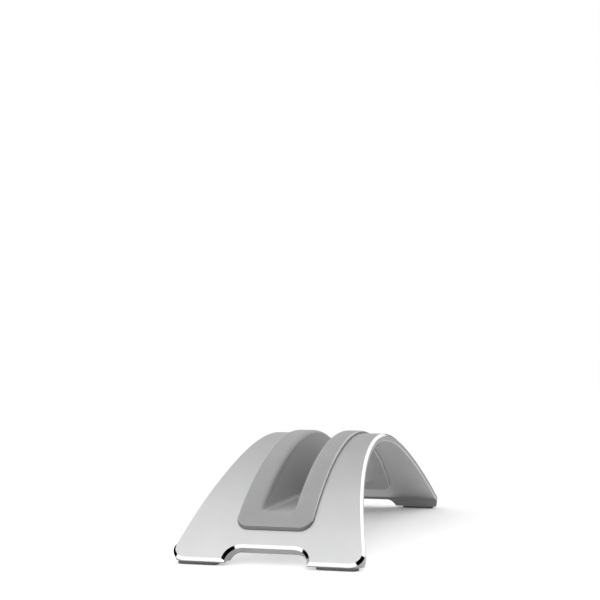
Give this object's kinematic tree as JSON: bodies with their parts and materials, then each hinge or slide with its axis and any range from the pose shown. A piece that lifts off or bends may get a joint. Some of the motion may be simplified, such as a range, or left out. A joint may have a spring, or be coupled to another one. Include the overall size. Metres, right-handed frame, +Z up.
{
  "type": "laptop stand",
  "caption": "Low arched aluminium stand that holds a closed notebook upright in a soft lined slot along its top, on rubber foot pads.",
  "frame": {"origin": "middle of the stand, on the surface that the foot pads rest on", "axes": "+Z up, +Y along the notebook slot towards the back, +X to the right"},
  "size_m": [0.0906, 0.2424, 0.0555],
  "materials": {
    "arch_aluminium": "fine bead-blasted and anodised silver, with a bright diamond-cut bevel",
    "cradle_silicone": "matte grey silicone",
    "pad_rubber": "matte dark grey rubber",
    "adhesive_film": "thin translucent adhesive film"
  },
  "bodies": {
    "stand": {"arch_body": "arch_aluminium", "front_left_foot_pad": "pad_rubber", "front_right_foot_pad": "pad_rubber", "back_left_foot_pad": "pad_rubber", "back_right_foot_pad": "pad_rubber", "front_left_pad_adhesive": "adhesive_film", "front_right_pad_adhesive": "adhesive_film", "back_left_pad_adhesive": "adhesive_film", "back_right_pad_adhesive": "adhesive_film"},
    "cradle": {"cradle_insert": "cradle_silicone"}
  },
  "joints": [
    {"name": "cradle_lift", "type": "slide", "parent": "stand", "child": "cradle", "axis": [0, 0, 1], "range_m": [0, 0.045]}
  ]
}
